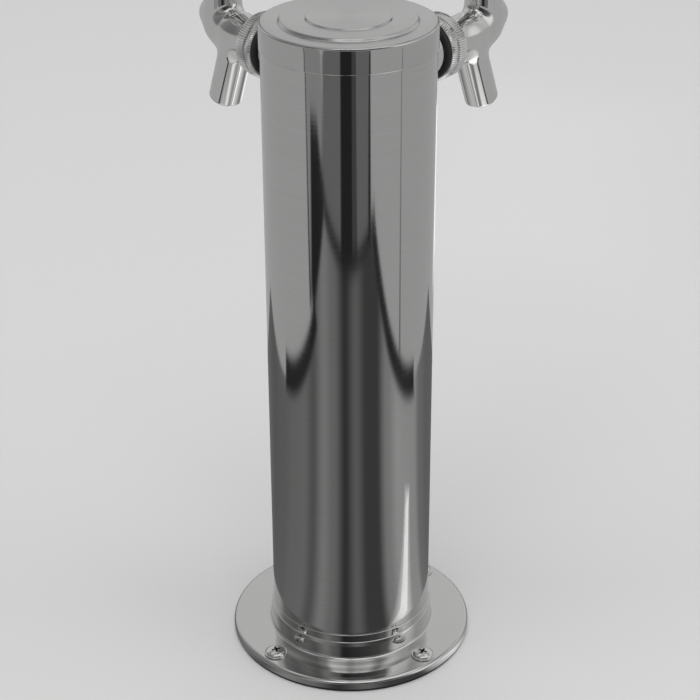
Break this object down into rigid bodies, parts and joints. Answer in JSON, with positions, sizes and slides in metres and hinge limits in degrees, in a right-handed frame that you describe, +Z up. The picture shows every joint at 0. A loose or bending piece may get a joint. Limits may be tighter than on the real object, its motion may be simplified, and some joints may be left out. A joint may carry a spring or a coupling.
{
  "type": "beer tap tower",
  "caption": "Round column beer tap tower with angled faucets, lever-worked rear-closing valves, a lift-off pressed cap and a screwed base flange.",
  "frame": {"origin": "column axis at the underside of the base gasket, which is the counter surface", "axes": "+Z up the column, -Y the front that the faucets face"},
  "size_m": [0.1502, 0.1514, 0.4375],
  "materials": {
    "polished_steel": "polished stainless with a satin top",
    "column_steel": "stainless, polished along its length",
    "cap_steel": "satin stainless",
    "screw_steel": "bright, recess shaded",
    "chrome": "mirror chrome",
    "nut_chrome": "chrome, knurled",
    "plated_brass": "plated brass, dull",
    "tube_steel": "drawn stainless tube",
    "black_rubber": "matt black",
    "black_plastic": "gloss black",
    "nylon": "natural nylon",
    "foam": "closed-cell foam"
  },
  "bodies": {
    "tower": {"base_flange": "polished_steel", "base_gasket": "black_rubber", "base_screws": "screw_steel", "column_tube": "column_steel", "foam_sleeve": "foam", "left_shank": "plated_brass", "left_shank_collar": "chrome", "left_collar_gasket": "black_rubber", "left_inner_saddle": "black_plastic", "left_lock_washer": "plated_brass", "left_lock_nut": "plated_brass", "left_line_elbow": "tube_steel", "left_coupling_washer": "black_rubber", "left_coupling_nut": "nut_chrome", "left_faucet_body": "chrome", "left_ball_washer": "nylon", "left_friction_washer": "nylon", "left_bonnet": "nut_chrome", "right_shank": "plated_brass", "right_shank_collar": "chrome", "right_collar_gasket": "black_rubber", "right_inner_saddle": "black_plastic", "right_lock_washer": "plated_brass", "right_lock_nut": "plated_brass", "right_line_elbow": "tube_steel", "right_coupling_washer": "black_rubber", "right_coupling_nut": "nut_chrome", "right_faucet_body": "chrome", "right_ball_washer": "nylon", "right_friction_washer": "nylon", "right_bonnet": "nut_chrome"},
    "cap": {"tower_cap": "cap_steel", "cap_gasket": "black_rubber"},
    "left_lever": {"left_lever": "chrome", "left_handle_ferrule": "chrome", "left_tap_handle": "black_plastic"},
    "left_valve": {"left_valve_shaft": "plated_brass", "left_valve_seat": "black_rubber", "left_valve_nut": "plated_brass"},
    "right_lever": {"right_lever": "chrome", "right_handle_ferrule": "chrome", "right_tap_handle": "black_plastic"},
    "right_valve": {"right_valve_shaft": "plated_brass", "right_valve_seat": "black_rubber", "right_valve_nut": "plated_brass"}
  },
  "joints": [
    {"name": "cap_lift", "type": "slide", "parent": "tower", "child": "cap", "axis": [0, 0, 1], "range_m": [0, 0.03]},
    {"name": "left_lever_tilt", "type": "hinge", "parent": "tower", "child": "left_lever", "pos_m": [-0.06057, -0.07894, 0.302], "axis": [0.7934, -0.6088, 0], "range_deg": [0, 20]},
    {"name": "left_valve_slide", "type": "slide", "parent": "tower", "child": "left_valve", "axis": [0.6088, 0.7934, 0], "range_m": [0, 0.00699]},
    {"name": "right_lever_tilt", "type": "hinge", "parent": "tower", "child": "right_lever", "pos_m": [0.06057, -0.07894, 0.302], "axis": [0.7934, 0.6088, 0], "range_deg": [0, 20]},
    {"name": "right_valve_slide", "type": "slide", "parent": "tower", "child": "right_valve", "axis": [-0.6088, 0.7934, 0], "range_m": [0, 0.00699]}
  ],
  "couplings": [
    {"joint": "left_valve_slide", "follows": "left_lever_tilt", "m_per_rad": 0.02},
    {"joint": "right_valve_slide", "follows": "right_lever_tilt", "m_per_rad": 0.02}
  ]
}
